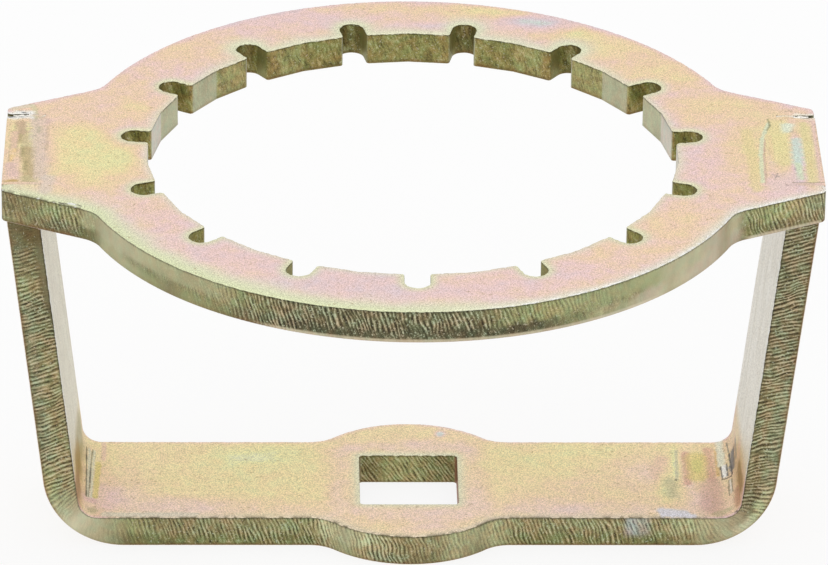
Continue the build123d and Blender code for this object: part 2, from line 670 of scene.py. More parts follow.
def spots(low, high, seed, strokes):
    """Slightly uneven points over a rectangle, closer together along fine strokes, each with its spacing."""
    fine = face_step / 4
    columns = np.arange(math.ceil((high[0] - low[0]) / fine))
    rows = np.arange(math.ceil((high[1] - low[1]) / fine))
    column, row = (part.ravel() for part in np.meshgrid(columns, rows))
    x, y = low[0] + column * fine, low[1] + row * fine
    wanted = np.full(len(x), 4)
    for ax, ay, bx, by, half_width, shade, share, depth in strokes:
        if half_width < 1:
            close = apart(x, y, (ax, ay), (bx, by)) < half_width * 1.5 + fine
            wanted[close] = np.minimum(wanted[close], 1 if half_width < 0.5 else 2)
    kept = (column % wanted == 0) & (row % wanted == 0)
    places = np.column_stack((x, y))[kept]
    spacing = wanted[kept] * fine
    places += (np.random.default_rng(seed).random(places.shape) - 0.5) * spacing[:, None] * 0.3
    return np.column_stack((places, spacing))


def apart(x, y, start, end):
    """Distance of points from a straight stroke."""
    ax, ay = start
    across, up = end[0] - ax, end[1] - ay
    share = np.clip(((x - ax) * across + (y - ay) * up) / max(across ** 2 + up ** 2, 1e-9), 0, 1)
    return np.hypot(x - ax - across * share, y - ay - up * share)


class Coat:
    """The film over a face and what lies on it, at each of its points."""

    def __init__(self, x, y, ground):
        self.x, self.y = x, y
        self.film = np.full(len(x), ground)
        self.shade = np.zeros((len(x), 3))
        self.share = np.zeros(len(x))
        self.depth = np.zeros(len(x))

    def shift(self, tint, share):
        """Moves the film's thickness towards a tint's, by a share for each point."""
        self.film += (tint - self.film) * share

    def tint(self, patches):
        """Film thickness where patches lie one over another."""
        for middle_x, middle_y, reach_x, reach_y, tint, weight in patches:
            away = ((self.x - middle_x) / reach_x) ** 2 + ((self.y - middle_y) / reach_y) ** 2
            self.shift(tint, weight * np.exp(-away * 0.9))

    def stain(self, shade, share):
        """Lays a colour over those that are there, by a share for each point."""
        under = self.share * (1 - share)
        self.share = share + under
        hidden = (share / np.maximum(self.share, 1e-6))[:, None]
        self.shade += (linear(shade) - self.shade) * hidden

    def stroke(self, strokes, faced):
        """Marks along straight lines, with uneven borders, where a point is faced. Some are pressed in."""
        ragged = wander_over(self.x / 0.7 + 200, self.y / 0.7 + 200, seed=91) - 0.5
        ragged += 0.7 * (wander_over(self.x / 0.3 + 400, self.y / 0.3 + 400, seed=92) - 0.5)
        for ax, ay, bx, by, half_width, shade, share, depth in strokes:
            off = apart(self.x, self.y, (ax, ay), (bx, by)) + ragged * min(half_width, 1.2) * 0.5
            cover = (1 - smooth_step(off, half_width * 0.55, half_width * 1.3)) * faced
            self.stain(shade, share * cover)
            self.depth = np.maximum(self.depth, depth * cover)

    def give(self, piece):
        attach(piece, "film", self.film)
        attach(piece, "stain", np.column_stack((self.shade, self.share)))


def attach(piece, name, values):
    """Keeps values on the mesh's points: one number, a vector or a colour for each."""
    values = np.asarray(values, np.float32)
    width = 1 if values.ndim == 1 else values.shape[1]
    kind, key = {1: ("FLOAT", "value"), 3: ("FLOAT_VECTOR", "vector"), 4: ("FLOAT_COLOR", "color")}[width]
    piece.data.attributes.new(name, kind, "POINT").data.foreach_set(key, values.ravel())


def make_piece(name, points, faces, materials, slots, smooth, node):
    """A mesh object from points in millimetres, which stands for a CAD node and rides on the body."""
    mesh = bpy.data.meshes.new(name)
    mesh.from_pydata((np.asarray(points) * MM).tolist(), [], faces)
    for material in materials:
        mesh.materials.append(material)
    mesh.polygons.foreach_set("material_index", np.asarray(slots, np.int32))
    mesh.polygons.foreach_set("use_smooth", smooth)
    mesh.update()
    piece = bpy.data.objects.new(name, mesh)
    bpy.context.scene.collection.objects.link(piece)
    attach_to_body(piece, "root")
    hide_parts(node)
    return piece


# Materials

def node(tree, kind, settings=None, **links):
    """Adds a node with its settings and its inputs, each a value or another node's output."""
    made = tree.nodes.new(kind)
    for key, value in (settings or {}).items():
        setattr(made, key, value)
    for key, value in links.items():
        name = key.replace("_", " ")
        entry = made.inputs[int(name[1:])] if name[0] == "i" and name[1:].isdigit() else made.inputs[name]
        if isinstance(value, bpy.types.NodeSocket):
            tree.links.new(value, entry)
        else:
            entry.default_value = value
    return made


def shaded(name):
    material = bpy.data.materials.new(name)
    material.use_nodes = True
    tree = material.node_tree
    return material, tree, tree.nodes["Principled BSDF"]


# The film's thickness, from 0 to 1, sets its tint. Each tint is named, and between two of them it blends.
silver_green, yellow_green, straw, peach, pink, lilac, blue_green = (0.14 * step for step in range(7))
film_colours = (
    (silver_green, "#D9DDC2"),
    (yellow_green, "#E1E0A8"),
    (straw, "#EAD9A6"),
    (peach, "#EBCFAE"),
    (pink, "#E9CBC6"),
    (lilac, "#DCCBD0"),
    (blue_green, "#C9DCD0"),
    (1.0, "#D8E2A8"),
)


def fill_ramp(ramp, stops):
    ramp.elements[0].position, ramp.elements[1].position = stops[0][0], stops[-1][0]
    ramp.elements[0].color, ramp.elements[1].color = colour(stops[0][1]), colour(stops[-1][1])
    for place, shade in stops[1:-1]:
        ramp.elements.new(place).color = colour(shade)


mix_colours = {"data_type": "RGBA"}
multiply_colours = {"data_type": "RGBA", "blend_type": "MULTIPLY"}
multiply = {"operation": "MULTIPLY"}
multiply_add = {"operation": "MULTIPLY_ADD"}
scale_colour = {"operation": "SCALE"}


def passivated_face():
    """Yellow-passivated zinc on rolled steel: a satin skin whose tint drifts as the clear film gets thicker.

    The metal shows through the film, so the skin is three parts metal to one of paint. The plating's
    real grain, about 0.03 mm, is too fine to show, so it is drawn at 0.17 mm."""
    material, tree, skin = shaded("yellow passivated zinc on rolled steel")
    place = node(tree, "ShaderNodeTexCoord").outputs["Object"]
    thickness = node(tree, "ShaderNodeAttribute", {"attribute_name": "film"}).outputs["Fac"]
    stain = node(tree, "ShaderNodeAttribute", {"attribute_name": "stain"}).outputs
    drift, mottle, grit, pits = (
        node(tree, "ShaderNodeTexNoise", Vector=place, Scale=1 / (size * MM), Detail=detail).outputs["Fac"]
        for size, detail in ((14, 2.0), (2.2, 3.0), (0.17, 1.0), (0.4, 1.0)))
    for pattern, share in ((drift, 0.35), (mottle, 0.3), (grit, 0.18)):
        thickness = node(tree, "ShaderNodeMath", multiply_add, i0=pattern, i1=share, i2=thickness).outputs[0]
    centred = node(tree, "ShaderNodeMath", {"operation": "SUBTRACT"}, i0=thickness, i1=0.415).outputs[0]
    ramp = node(tree, "ShaderNodeValToRGB", Fac=centred)
    fill_ramp(ramp.color_ramp, film_colours)
    stained = node(tree, "ShaderNodeMix", mix_colours, i0=stain["Alpha"],
                   i6=ramp.outputs["Color"], i7=stain["Color"]).outputs[2]
    in_pit = node(tree, "ShaderNodeMapRange", i0=pits, i1=0.66, i2=0.76, i4=0.55).outputs[0]
    pitted = node(tree, "ShaderNodeMix", mix_colours, i0=in_pit, i6=stained, i7=colour("#A5895C")).outputs[2]
    grain = node(tree, "ShaderNodeMapRange", i0=grit, i1=0.3, i2=0.7, i3=0.68, i4=1.19).outputs[0]
    grained = node(tree, "ShaderNodeVectorMath", scale_colour, i0=pitted, Scale=grain).outputs[0]
    tree.links.new(grained, skin.inputs["Base Color"])
    skin.inputs["Metallic"].default_value = 0.75
    rough = node(tree, "ShaderNodeMapRange", i0=mottle, i1=0.3, i2=0.7, i3=0.4, i4=0.52).outputs[0]
    tree.links.new(rough, skin.inputs["Roughness"])
    bump = node(tree, "ShaderNodeBump", Height=grit, Strength=0.35, Distance=0.02 * MM).outputs[0]
    tree.links.new(bump, skin.inputs["Normal"])
    return material


def passivated_cut():
    """The same plating on a laser-cut wall, with painted shade in the grooves and painted pale straw
    highlights on the ridges.

    The mesh brings the wall's colours, its roughness, where a point lies on the wall and how high it
    stands on its ridge. Real drag lines between the grooves are about 0.1 mm apart, drawn at 0.16 mm."""
    material, tree, skin = shaded("yellow passivated zinc on laser-cut steel")
    place = node(tree, "ShaderNodeTexCoord").outputs["Object"]
    cut = node(tree, "ShaderNodeAttribute", {"attribute_name": "cut"}).outputs["Vector"]
    wash = node(tree, "ShaderNodeAttribute", {"attribute_name": "wash"}).outputs
    roughness = wash["Alpha"]
    run, depth, ridge = node(tree, "ShaderNodeSeparateXYZ", Vector=cut).outputs
    grit, drift, grains, hue = (
        node(tree, "ShaderNodeTexNoise", Vector=place, Scale=1 / (size * MM), Detail=detail).outputs["Fac"]
        for size, detail in ((0.15, 1.0), (2.5, 3.0), (0.24, 0.0), (1.3, 2.0)))
    unrolled = node(tree, "ShaderNodeCombineXYZ", X=run, Y=depth).outputs[0]
    drawn_out = node(tree, "ShaderNodeMapping", Vector=unrolled, Scale=(1 / 0.16, 1 / 1.4, 1)).outputs[0]
    streak = node(tree, "ShaderNodeTexNoise", Vector=drawn_out, Scale=1.0, Detail=2.0).outputs["Fac"]

    # Rough stretches run from painted shade in the grooves to painted highlights on the crests, by each
    # point's height on its ridge.
    coarse = node(tree, "ShaderNodeMapRange", i0=grit, i1=0.32, i2=0.68).outputs[0]
    streaked = node(tree, "ShaderNodeMath", multiply_add, i0=streak, i1=0.75, i2=ridge).outputs[0]
    gritty = node(tree, "ShaderNodeMath", multiply_add, i0=coarse, i1=0.4, i2=streaked).outputs[0]
    height = node(tree, "ShaderNodeMapRange", i0=gritty, i1=0.45, i2=1.65).outputs[0]
    # Painted shade: the lower a point lies in its groove, the darker the wall's colour.
    level = node(tree, "ShaderNodeValToRGB", Fac=height)
    fill_ramp(level.color_ramp, ((0.0, "#555049"), (0.25, "#989490"), (0.5, "#CBCAC6"), (1.0, "#FFFFFF")))
    painted_groove_shade = node(tree, "ShaderNodeMix", multiply_colours, i0=1.0,
                   i6=wash["Color"], i7=level.outputs["Color"]).outputs[2]
    brighter = node(tree, "ShaderNodeVectorMath", scale_colour, i0=painted_groove_shade, Scale=1.75).outputs[0]
    # Painted highlight: the highest crests turn pale straw.
    painted_crest_highlight = node(tree, "ShaderNodeMapRange", i0=height, i1=0.62, i4=0.75).outputs[0]
    rough_part = node(tree, "ShaderNodeMix", mix_colours, i0=painted_crest_highlight,
                      i6=brighter, i7=colour("#E2DEC6")).outputs[2]

    # Smooth stretches only drift a little.
    worn = node(tree, "ShaderNodeMapRange", i0=drift, i1=0.3, i2=0.7, i3=0.9, i4=1.1).outputs[0]
    smooth_part = node(tree, "ShaderNodeVectorMath", scale_colour, i0=wash["Color"], Scale=worn).outputs[0]
    both = node(tree, "ShaderNodeMix", mix_colours, i0=roughness, i6=smooth_part, i7=rough_part).outputs[2]

    # Bright specks, scorched drops along the foot, and patches that lean to green or to brown.
    bright = node(tree, "ShaderNodeMapRange", i0=grains, i1=0.68, i2=0.78, i4=0.6).outputs[0]
    specks = node(tree, "ShaderNodeMath", multiply, i0=bright, i1=roughness).outputs[0]
    specked = node(tree, "ShaderNodeMix", mix_colours, i0=specks, i6=both, i7=colour("#DAD9C6")).outputs[2]
    low_fray = node(tree, "ShaderNodeMath", multiply_add, i0=grit, i1=0.5, i2=depth).outputs[0]
    at_foot = node(tree, "ShaderNodeMapRange", i0=low_fray, i1=3.95, i2=4.25, i4=0.6).outputs[0]
    drops = node(tree, "ShaderNodeMath", multiply, i0=at_foot, i1=roughness).outputs[0]
    footed = node(tree, "ShaderNodeMix", mix_colours, i0=drops, i6=specked, i7=colour("#7A5C34")).outputs[2]
    leaning = node(tree, "ShaderNodeMapRange", i0=hue, i1=0.35, i2=0.65).outputs[0]
    cast = node(tree, "ShaderNodeMix", mix_colours, i0=leaning,
                i6=colour("#F0FFF2"), i7=colour("#FFEFE0")).outputs[2]
    how_much = node(tree, "ShaderNodeMapRange", i0=roughness, i3=0.3).outputs[0]
    varied = node(tree, "ShaderNodeMix", multiply_colours, i0=how_much, i6=footed, i7=cast).outputs[2]

    # A dark line on the wall just under its top rim.
    high_fray = node(tree, "ShaderNodeMath", multiply_add, i0=streak, i1=0.5, i2=depth).outputs[0]
    dark_under_rim = node(tree, "ShaderNodeMapRange", i0=high_fray, i1=0.34, i2=0.6, i3=0.4).outputs[0]
    painted = node(tree, "ShaderNodeVectorMath", scale_colour, i0=varied, Scale=dark_under_rim).outputs[0]
    tree.links.new(painted, skin.inputs["Base Color"])
    skin.inputs["Metallic"].default_value = 0.6
    skin.inputs["Roughness"].default_value = 0.5
    raised = node(tree, "ShaderNodeMath", multiply, i0=streak, i1=roughness).outputs[0]
    bump = node(tree, "ShaderNodeBump", Height=raised, Strength=0.5, Distance=0.04 * MM).outputs[0]
    tree.links.new(bump, skin.inputs["Normal"])
    return material


face_skin = passivated_face()
cut_skin = passivated_cut()


# Each patch has its middle, its reach both ways, its tint and how strongly it takes over.
plate_patches = (
    (-42.3, 0, 6, 9, straw - 0.05, 0.97),
    (-36, 11.5, 2.6, 4, straw, 0.8),
    (-38.2, -2.5, 3.2, 4.2, yellow_green, 0.9),
    (-42.5, 4, 2.5, 3, yellow_green, 0.6),
    (-45, 10, 5, 3, peach, 0.7),
    (-44.5, -9.5, 2.6, 2, pink, 0.8),
    (-38, -14, 4, 3.5, pink, 0.8),
    (-40, -9.3, 3, 1.7, straw + 0.09, 0.95),
    (-47, -2, 1.3, 9, pink - 0.04, 0.8),
    (-49.2, 0, 0.9, 8, yellow_green - 0.04, 0.7),
    (-51.2, 6, 0.5, 3, straw, 0.8),
    (-51.5, -2, 0.5, 4, peach, 0.8),
    (-50.4, -6, 0.7, 3.5, pink, 0.7),
    (-30, -24, 8, 8, pink, 0.8),
    (-14, -36, 9, 4, pink + 0.02, 0.8),
    (0, -38.5, 9, 3, pink + 0.04, 0.9),
    (18, -34, 9, 4, pink - 0.02, 0.8),
    (32, -21, 4, 6, peach + 0.03, 0.8),
    (38, -3, 4, 7, pink - 0.03, 0.85),
    (36, 9, 2.5, 4, peach, 0.7),
    (44, 3, 3.5, 7, straw + 0.04, 0.9),
    (41, 13, 5, 2.5, straw + 0.05, 0.8),
    (43.8, -5, 0.9, 5, straw + 0.04, 0.6),
    (48, 2, 3, 7, straw - 0.03, 0.95),
    (45.9, -3, 0.5, 5, pink, 0.6),
    (46.8, -9.3, 3, 2.2, pink, 0.85),
    (49.2, -3, 0.75, 6.5, blue_green, 0.95),
    (51, -2, 0.8, 8, straw, 0.9),
    (33, 22, 4, 5, straw + 0.06, 0.85),
    (27, 30, 5, 3, straw, 0.85),
    (23, 33.5, 3, 1.5, yellow_green - 0.04, 0.7),
    (17, 37.5, 4, 1.8, blue_green, 0.9),
    (11, 41, 6, 1.6, straw - 0.03, 0.9),
    (2, 41.5, 6, 1.5, straw + 0.08, 0.7),
    (-9, 38, 9, 3, pink + 0.05, 0.8),
    (-8, 42, 8, 1.2, peach, 0.5),
    (-22, 34, 6, 4, pink - 0.03, 0.8),
    (-30, 27, 5, 5, peach, 0.8),
    (-36, 18, 4, 5, peach, 0.8),
    (3, 36, 7, 1.2, lilac, 0.7),
)
strap_patches = (
    (-24, 3, 14, 6.5, straw - 0.04, 0.97),
    (-20, 6.5, 6, 2.6, yellow_green - 0.08, 0.95),
    (-28, -7.5, 12, 2.6, pink - 0.05, 0.95),
    (-17, -8.2, 7, 2.0, pink - 0.05, 0.9),
    (-9.5, -4, 1.6, 7, pink - 0.05, 0.7),
    (-39.5, -5, 4, 4, pink - 0.04, 0.9),
    (19, 4, 11, 5, straw - 0.06, 0.97),
    (23, 7, 6, 2, yellow_green, 0.5),
    (20, -3, 8, 3, straw + 0.05, 0.8),
    (24, -8, 14, 2.3, pink - 0.05, 0.9),
    (0, -12, 7, 3, pink - 0.06, 0.9),
    (0, 12, 7, 1.8, straw, 0.8),
    (4.4, 12.2, 0.6, 0.6, blue_green, 0.9),
    (31, 2, 4, 6, pink - 0.06, 0.85),
    (35.3, 4, 0.5, 5, silver_green, 0.8),
    (33.8, -3, 0.9, 4, silver_green, 0.6),
    (37, 0, 0.8, 8, pink - 0.04, 0.8),
    (38.8, 4, 1.2, 4, straw, 0.9),
    (39, -5, 1.8, 3.5, pink, 0.8),
)


# Strokes run between two points. Each has its half width, its shade, how strongly it covers and its depth.
ear_strokes = (
    (-48.3, 8, -47.5, -8, 1.1, "#D9C6B9", 0.75, 0),
    (-50.0, 5, -49.2, 0, 0.6, "#C9B690", 0.8, 0),
    (-49.2, 0, -48.9, -9, 0.75, "#BFAA80", 0.85, 0),
    (-50.3, 7.3, -50.1, 4.6, 0.7, "#C3A98C", 0.85, 0),
    (-51.2, 4.5, -51.0, 0.5, 0.5, "#DDBBA8", 0.7, 0),
    (-50.6, 5, -49.3, -6, 0.18, "#A89A6C", 0.75, 0),
    (-51.0, 0, -51.2, -3.5, 0.25, "#E8CA8E", 0.85, 0),
    (-51.2, -4.5, -51.0, -7, 0.8, "#DDBFB4", 0.8, 0),
    (-51.6, -9.4, -50.7, -9.2, 0.6, "#C2A45E", 0.85, 0),
    (-49.2, -8.3, -48.2, -9.3, 0.9, "#CBC094", 0.7, 0),
    (-48.6, 10, -47.6, 2, 0.15, "#B3AC90", 0.65, 0),
    (-49.0, 12.3, -48.3, 9, 0.4, "#CFCBA4", 0.6, 0),
    (-46.3, -8, -46.8, -12, 0.9, "#DACDC0", 0.6, 0),
    (-51.9, 11.6, -49.5, 12.4, 0.6, "#D9D3B6", 0.6, 0),
    (-52.0, 9.5, -49.6, 9.8, 1.15, "#ECEBE6", 0.95, 0),
    (-51.9, 9.0, -51.2, 9.1, 0.13, "#565A60", 0.9, 0),
    (-50.6, 9.1, -49.8, 9.2, 0.13, "#565A60", 0.9, 0),
    (-50.2, 10.3, -49.8, 10.2, 0.16, "#565A60", 0.9, 0),
    (-48.3, 3.6, -48.3, 3.9, 0.2, "#8F8470", 0.8, 0),
    # A burr on the left ear's front rim: a dark jagged line with a painted highlight on it.
    (-43.5, -15.2, -42.8, -15.5, 0.25, "#EDEEEC", 0.9, 0),
    (-44.8, -15.0, -43.7, -15.4, 0.13, "#6E6A5C", 0.9, 0),
    (-42.6, -15.5, -42.0, -15.9, 0.13, "#6E6A5C", 0.9, 0),
    (47.0, 7, 47.3, -3, 1.7, "#E2DA9C", 0.6, 0),
    (46.0, 4, 46.0, -3, 0.3, "#E8CEA2", 0.6, 0),
    (43.2, 5, 43.5, -11, 0.9, "#E0D298", 0.6, 0),
    (47.6, -7.5, 46.3, -10, 1.5, "#E4CCC2", 0.6, 0),
    (46.1, 7.6, 45.0, 3.2, 0.3, "#D5DFC4", 0.75, 0),
    (45.0, 3.2, 44.6, -1.4, 0.3, "#D5DFC4", 0.75, 0),
    (44.6, -1.4, 44.3, -9, 0.3, "#D8DEBC", 0.85, 0),
    (45.4, 3.0, 45.0, -1.4, 0.13, "#CDAE98", 0.9, 0.02),
    (45.0, -1.4, 44.7, -9.5, 0.13, "#D2B6A2", 0.9, 0.02),
    (46.1, 8.8, 46.3, 7.0, 0.13, "#94926C", 0.85, 0.03),
    (46.3, 7.0, 45.8, 5.6, 0.13, "#94926C", 0.85, 0.03),
    (48.7, 7, 48.4, 5.6, 0.8, "#DEE7D4", 0.85, 0),
    (50.7, 7.3, 50.7, -8.7, 0.75, "#DED49C", 0.75, 0),
    (51.0, 5, 51.0, -7, 0.15, "#D9B481", 0.6, 0),
    (51.8, 8, 51.7, -9, 0.35, "#E3C6BA", 0.9, 0),
    (49.4, 2.8, 49.2, -4, 0.75, "#CCDCD0", 0.85, 0),
    (49.2, -4, 49.4, -8, 0.5, "#D3DDBC", 0.85, 0),
    (45.7, -6.9, 46.5, -7.5, 0.12, "#9F918C", 0.75, 0.02),
    (46.4, -6.6, 46.0, -7.9, 0.12, "#9F918C", 0.75, 0.02),
    (49.0, 5.2, 49.2, 5.0, 0.2, "#A9987E", 0.75, 0),
    (48.6, 11.1, 49.3, 11.2, 0.18, "#B09A7C", 0.7, 0),
    (51.9, 9.6, 50.2, 9.7, 0.85, "#EAE5D6", 0.9, 0),
    (51.6, 9.0, 50.9, 9.0, 0.12, "#5A5444", 0.9, 0),
)
strap_strokes = (
    (-47.5, 6, -48.5, -1, 3.2, "#AFA878", 0.85, 0),
    (-47.6, -1, -48.4, -5, 2.8, "#AE9250", 0.9, 0),
    (-46.4, -6, -47.4, -9.4, 2.2, "#B18E6A", 0.85, 0),
    (-41.7, 4.3, -41.9, -4.7, 0.45, "#DCCB80", 0.85, 0),
    (-41.0, 9.6, -41.0, 5.3, 0.4, "#E0BFAE", 0.65, 0),
    (-43.4, -6.2, -42.2, -5.9, 0.6, "#DDBAB0", 0.75, 0),
    (-42.3, -8.4, -42.0, -8.3, 0.8, "#BDB088", 0.75, 0),
    (-40.5, -9.2, -28, -9.2, 0.6, "#DAD3C0", 0.75, 0),
    (-43.15, 7.1, -42.95, -5.2, 0.26, "#D5D0B4", 0.9, 0),
    (-42.35, 7.3, -42.5, -5.2, 0.18, "#D8D4B8", 0.9, 0),
    (-43.65, 7.2, -43.25, -5.4, 0.13, "#5F5A3C", 0.95, 0.12),
    (-42.72, 3.4, -42.78, -1.4, 0.14, "#5C5C4A", 0.95, 0.12),
    (-42.6, 7.4, -42.75, 3.4, 0.1, "#7C7656", 0.85, 0.06),
    (-42.78, -1.4, -42.85, -5.2, 0.1, "#7C7656", 0.85, 0.06),
    (34.2, -0.4, 34.6, -3.9, 1.0, "#BDB896", 0.65, 0),
    (33.5, 5.5, 32.5, 1, 1.0, "#DEBDAA", 0.5, 0),
    (35.6, 7.7, 35.35, 0, 0.24, "#BDB7A4", 0.55, 0),
    (35.2, -0.2, 35.2, 0, 0.16, "#4A4438", 0.9, 0.05),
    (36.8, 7, 36.7, -1, 0.6, "#D5AA96", 0.8, 0),
    (40.5, 7.8, 40.5, 0, 0.8, "#D7AD95", 0.75, 0),
    (40.2, -1.2, 40.0, -7.2, 1.9, "#D2AE9F", 0.65, 0),
    (38.5, 5.7, 38.3, 1, 1.8, "#DCCB80", 0.7, 0),
    (38.5, 4.6, 38.4, 2.5, 0.8, "#CFCE80", 0.5, 0),
    (41.6, 7.7, 41.6, 1, 0.25, "#DBBA80", 0.85, 0),
    (42.3, 9.8, 42.2, 3.7, 0.6, "#DEE2D0", 0.75, 0),
    (46.3, -2.6, 46.8, -7, 1.6, "#AA8C56", 0.9, 0),
    (44.5, -5, 44.3, -8.4, 0.75, "#C89E82", 0.8, 0),
    (42.5, -8.3, 40.8, -9.1, 0.6, "#BEB590", 0.65, 0),
    (44.5, 5.2, 43.9, 1.4, 0.75, "#85807E", 0.95, 0.12),
    (46.2, 5.4, 45.6, 2, 0.5, "#A39A94", 0.8, 0.05),
    (43.6, 5.6, 43.75, 0, 0.15, "#4E4A46", 0.95, 0.14),
    (43.4, 8.6, 43.6, 6, 0.14, "#77766A", 0.8, 0.05),
    (42.55, 3.0, 42.55, 0.6, 0.5, "#F0EEE6", 0.98, 0),
    (42.05, 3.3, 42.1, 0, 0.13, "#5A564E", 0.95, 0.08),
    (42.98, 3.4, 43.0, 0.2, 0.12, "#5A564E", 0.9, 0.08),
    (42.1, -0.1, 43.6, -0.3, 0.14, "#55503F", 0.95, 0.08),
    (43.3, -1.1, 43.2, -4.4, 0.16, "#E6DECC", 0.9, 0),
    (43.0, -1.1, 42.9, -4.8, 0.11, "#867C60", 0.9, 0.04),
    (43.6, -1.1, 43.5, -4.2, 0.11, "#867C60", 0.9, 0.04),
    (33.0, -8.2, 35.6, -8.8, 0.8, "#DDDCE4", 0.9, 0),
    (33.2, -9.3, 36.9, -9.6, 0.6, "#DFDEE6", 0.95, 0),
    (43.7, -9.7, 43.9, -9.9, 0.22, "#5C5644", 0.8, 0.08),
    (4.3, 11.9, 4.4, 12.3, 0.4, "#D9DBD6", 0.9, 0),
)

# What the cut walls are like along the front: place, upper and lower shades, strength of the comb, the
# depths where it starts and ends, and roughness.
plate_wall = (
    (15, bark, umber, 0.5, 0, 9, 0.9),
    (19.5, khaki, khaki, 0.6, 0, 9, 0.8),
    (23, olive, moss, 0.7, 0, 9, 1.0),
    (26.5, olive, moss, 0.9, 0, 9, 1.0),
    (28.5, drab, fern, 0.4, 0, 9, 0.5),
    (31.5, stone, drab, 0.2, 0, 2.6, 0.14),
    (38, stone, drab, 0.2, 0, 2.6, 0.15),
    (43, drab, sage, 0.3, 0, 9, 0.2),
    (46, drab, khaki, 0.3, 0, 9, 0.25),
    (49, drab, sage, 0.4, 0, 9, 0.3),
    (53.5, drab, sage, 0.6, 0, 9, 0.5),
    (57.5, olive, moss, 1.1, 0, 9, 0.9),
    (61, bark, deep_olive, 1.3, 0, 9, 1.0),
    (64.5, deep_olive, peat, 1.3, 0, 2.9, 1.0),
    (84, deep_olive, peat, 1.3, 0, 3.1, 1.0),
    (88.5, moss, peat, 1.0, 0, 2.8, 1.0),
    (92, olive, peat, 0.9, 0, 2.6, 0.9),
    (96, sage, deep_olive, 0.8, 0, 2.3, 0.8),
    (100, celery, olive, 0.8, 0, 2.2, 0.6),
    (104, celery, drab, 0.7, 0, 2.1, 0.5),
    (108, celery, drab, 0.4, 0, 2.0, 0.3),
    (112, celery, clay, 0.2, 0, 2.0, 0.15),
    (116, stone, stone, 0.1, 0, 2.0, 0.12),
    (121, stone, clay, 0.1, 0, 2.0, 0.12),
    (125.5, clay, clay, 0.1, 0, 2.0, 0.12),
    (128, tan, tan, 0.1, 0, 2.0, 0.14),
    (131, stone, clay, 0.2, 0, 2.0, 0.2),
    (133.5, olive, fern, 0.9, 0, 9, 0.9),
    (138, sage, bark, 0.9, 0, 9, 1.0),
    (141.5, umber, bark, 0.9, 0, 9, 1.0),
    (145, lichen, bark, 0.9, 0, 9, 1.0),
)
strap_wall = (
    (15, cocoa, cocoa, 0.3, 0, 9, 0.5),
    (17.6, cocoa, bark, 0.3, 1.0, 9, 0.7),
    (19.5, bark, lichen, 1.2, 1.0, 9, 0.9),
    (25, khaki, olive, 1.3, 1.0, 9, 1.0),
    (28, moss, lichen, 1.4, 0.5, 9, 1.0),
    (30.5, bark, lichen, 1.4, 0, 9, 1.0),
    (36, khaki, lichen, 1.4, 0, 9, 1.0),
    (50, khaki, lichen, 1.4, 0, 9, 1.0),
    (54, khaki, sage, 1.4, 0, 9, 1.0),
    (57, stone, pale_olive, 1.0, 0, 9, 0.5),
    (59.5, cream, cream, 0.5, 0, 9, 0.15),
    (63, stone, stone, 0.5, 0, 9, 0.3),
    (67, sage, fern, 0.8, 0, 3.0, 0.7),
    (71, khaki, fern, 1.0, 0, 3.0, 0.9),
    (80, khaki, fern, 1.0, 0, 3.2, 1.0),
    (90, olive, fern, 1.0, 0, 9, 1.0),
    (92.5, stone, umber, 1.5, 0, 9, 1.0),
    (95, stone, drab, 0.6, 0, 9, 0.4),
    (98, stone, umber, 1.5, 0, 9, 1.0),
    (101, umber, lichen, 1.5, 0, 9, 1.0),
    (104, khaki, bark, 1.0, 0, 9, 0.9),
    (107.5, umber, khaki, 0.8, 0, 9, 0.8),
    (110.5, drab, drab, 0.7, 0, 9, 0.7),
    (114, drab, umber, 0.6, 0, 9, 0.6),
    (116.5, drab, drab, 0.9, 0, 9, 0.8),
    (119.5, khaki, fern, 0.9, 0, 9, 1.0),
    (133.4, khaki, fern, 0.9, 0, 3.4, 1.0),
    (134.3, tin, fern, 0.7, 0, 3.4, 0.9),
    (135.3, tin, fern, 0.7, 0, 3.4, 0.9),
    (136.6, khaki, fern, 0.9, 0, 3.4, 1.0),
    (138, khaki, fern, 0.9, 0, 3.4, 1.0),
    (142, drab, khaki, 0.8, 0, 3.6, 0.9),
    (146, stone, stone, 0.8, 0, 9, 0.4),
    (149, tan, cream, 0.8, 0, 9, 0.4),
    (151.5, moss, drab, 1.3, 0, 9, 0.9),
    (155, bark, lichen, 1.5, 0, 9, 1.0),
    (168, bark, lichen, 1.5, 0, 9, 1.0),
    (173, moss, moss, 1.5, 0, 9, 1.0),
    (192, moss, moss, 1.5, 0, 9, 1.0),
)


# Ring plate

def jagged(edge, low, high):
    """Radii for a rim that breaks off unevenly."""
    return low + (high - low) * wander(edge.run / 0.35, edge.seed + 11) ** 2


def plate_edge():
    """The outer edge. The slots' walls are hidden, apart from the gap that stays open behind each tab."""
    edge = Edge(mirrored_round(plate_quarter()), seed=11, lean=plate_lean)
    edge.lay(plate_wall)
    x, y = np.abs(edge.points.T)
    in_slot = (x > slot_root_x - 0.1) & (y < slot_half_width + 0.1)
    open_gap = in_slot & (edge.points[:, 1] > tab_half_width) & (x > half_span - back_gap_length)
    edge.hidden = in_slot & ~open_gap
    edge.roughness[in_slot] = 0
    edge.bevel[:] = np.where(edge.hidden, sharp_edge_radius, jagged(edge, 0.08, 0.22))
    edge.low_bevel[:] = np.where(edge.hidden, sharp_edge_radius, lower_edge_radius)
    from_left = np.abs(edge.run - edge.length / 2)
    on_ear = smooth_step(from_left, 132, 134) * (from_left < 144)
    edge.lip = 0.9 * np.maximum(stretch(from_left, 58, 63, 110, 116), on_ear)
    edge.seam = 0.8 * stretch(from_left, 35, 40, 54, 58) + 0.7 * stretch(from_left, 98, 101, 109, 112)
    return edge, in_slot


